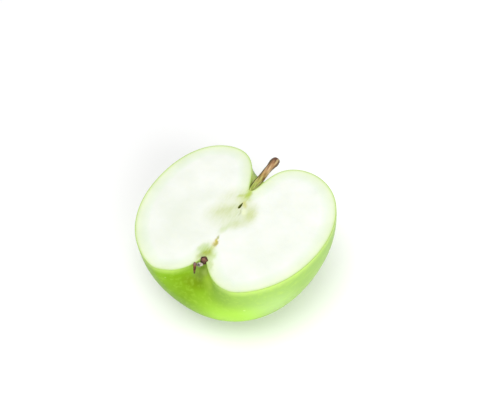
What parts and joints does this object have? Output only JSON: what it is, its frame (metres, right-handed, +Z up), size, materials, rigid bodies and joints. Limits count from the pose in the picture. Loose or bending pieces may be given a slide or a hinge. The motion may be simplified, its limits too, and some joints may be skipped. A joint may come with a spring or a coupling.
{
  "type": "apple half",
  "caption": "Half of a green apple cut from stem to blossom end, lying on its skin with the cut face up, with its stem and dried calyx.",
  "frame": {"origin": "on the small flat spot that the half rests on, straight below the middle of its core line", "axes": "+Z up, square to the cut face; +Y along the core line toward the stem; +X toward the lobe on the right of the stem"},
  "size_m": [0.0782, 0.0699, 0.0389],
  "materials": {
    "flesh_and_skin": "moist pale flesh on the cut face, waxy yellow-green skin around it",
    "stem_bark": "dry ridged bark, olive at the base and dark brown at the tip",
    "dried_calyx": "dry brown papery leaf",
    "dried_stamens": "grey-beige dry fluff"
  },
  "bodies": {
    "root": {"apple_half": "flesh_and_skin", "stem": "stem_bark", "calyx_cup": "dried_calyx", "calyx_tuft": "dried_stamens", "sepal_long": "dried_calyx", "sepal_short": "dried_calyx"}
  },
  "joints": []
}
